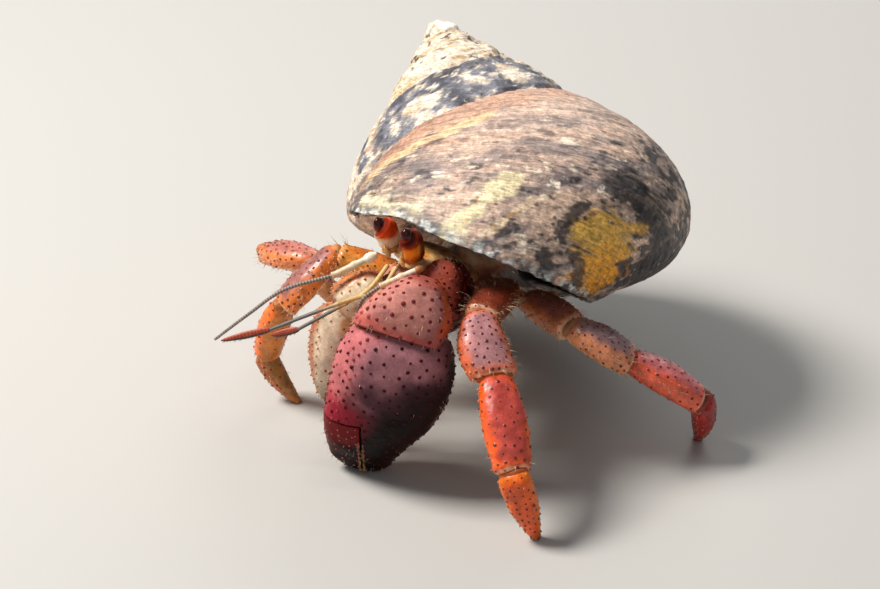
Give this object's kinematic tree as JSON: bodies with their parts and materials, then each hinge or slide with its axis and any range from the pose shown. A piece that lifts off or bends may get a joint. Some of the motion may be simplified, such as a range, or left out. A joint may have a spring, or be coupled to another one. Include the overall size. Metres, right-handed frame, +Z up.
{
  "type": "hermit crab",
  "caption": "Land hermit crab walking on its legs with a spiral sea snail shell on its back and one big claw held low in front.",
  "frame": {"origin": "on the floor below the centre of the model's bounding box", "axes": "+Z up, the crab faces -Y and its left side is towards +X"},
  "size_m": [0.0872, 0.0956, 0.0575],
  "materials": {
    "shell": "satin",
    "shield": "satin",
    "flesh": "matte",
    "limb_shell": "satin",
    "tip_shell": "satin",
    "claw_shell": "satin",
    "stalk_shell": "satin",
    "cornea": "gloss",
    "feeler": "matte"
  },
  "bodies": {
    "root": {"shell": "shell", "carapace_shield": "shield", "thorax": "flesh", "abdomen": "flesh", "rear_leg_left": "limb_shell", "maxilliped_left": "limb_shell", "eyestalk_left": "stalk_shell", "eye_left": "cornea", "antenna_left_peduncle": "feeler", "antennule_left_peduncle": "feeler", "antenna_left_lash": "feeler", "antennule_left_lash": "feeler", "claw_left_merus": "claw_shell", "claw_left_carpus": "claw_shell", "claw_left_hand": "claw_shell", "claw_left_finger": "claw_shell", "leg_left_2_merus": "limb_shell", "leg_left_2_carpus": "limb_shell", "leg_left_2_propodus": "tip_shell", "leg_left_2_dactyl": "tip_shell", "leg_left_3_merus": "limb_shell", "leg_left_3_carpus": "limb_shell", "leg_left_3_propodus": "tip_shell", "leg_left_3_dactyl": "tip_shell", "rear_leg_right": "limb_shell", "maxilliped_right": "limb_shell", "eyestalk_right": "stalk_shell", "eye_right": "cornea", "antenna_right_peduncle": "feeler", "antennule_right_peduncle": "feeler", "antenna_right_lash": "feeler", "antennule_right_lash": "feeler", "claw_right_merus": "claw_shell", "claw_right_carpus": "claw_shell", "claw_right_hand": "claw_shell", "claw_right_finger": "claw_shell", "leg_right_2_merus": "limb_shell", "leg_right_2_carpus": "limb_shell", "leg_right_2_propodus": "tip_shell", "leg_right_2_dactyl": "tip_shell", "leg_right_3_merus": "limb_shell", "leg_right_3_carpus": "limb_shell", "leg_right_3_propodus": "tip_shell", "leg_right_3_dactyl": "tip_shell"}
  },
  "joints": []
}
